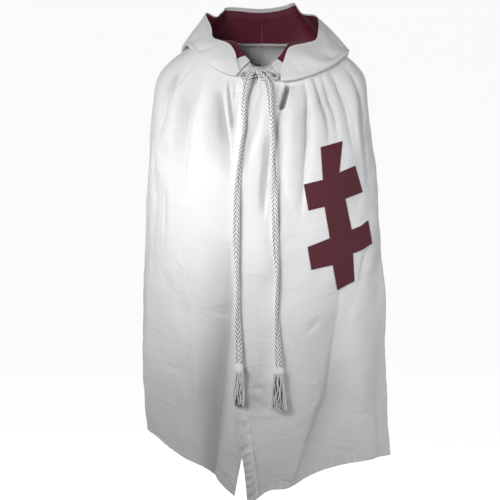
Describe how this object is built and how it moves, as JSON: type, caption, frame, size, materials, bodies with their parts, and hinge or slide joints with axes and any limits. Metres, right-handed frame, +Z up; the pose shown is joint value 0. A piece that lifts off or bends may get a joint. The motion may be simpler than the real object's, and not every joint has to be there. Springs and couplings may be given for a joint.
{
  "type": "hooded templar mantle",
  "caption": "Long white hooded mantle in its worn form, open at the front, with a wine-red hood lining and two-barred cross, looped fasteners and hanging tasselled cords.",
  "frame": {"origin": "base of the neck, between the shoulders that carry the mantle", "axes": "+Z up, the open front faces -Y, +X is the wearer's left"},
  "size_m": [0.6303, 0.4291, 1.2675],
  "materials": {
    "white_cloth": "smooth matt woven cloth with a soft sheen",
    "lining_cloth": "smooth wine-red lining with a low satin sheen",
    "cross_cloth": "matt wine-red woven applique",
    "white_cord": "lustrous twisted rayon cord"
  },
  "bodies": {
    "root": {"right_front": "white_cloth", "left_front": "white_cloth", "back": "white_cloth", "hood_right": "white_cloth", "hood_left": "white_cloth", "hood_lining_right": "lining_cloth", "hood_lining_left": "lining_cloth", "cross": "cross_cloth", "frog_right": "white_cord", "frog_left": "white_cord", "cord_right_a": "white_cord", "cord_right_b": "white_cord", "cord_left_a": "white_cord", "cord_left_b": "white_cord", "tassel_right": "white_cord", "tassel_left": "white_cord"}
  },
  "joints": []
}
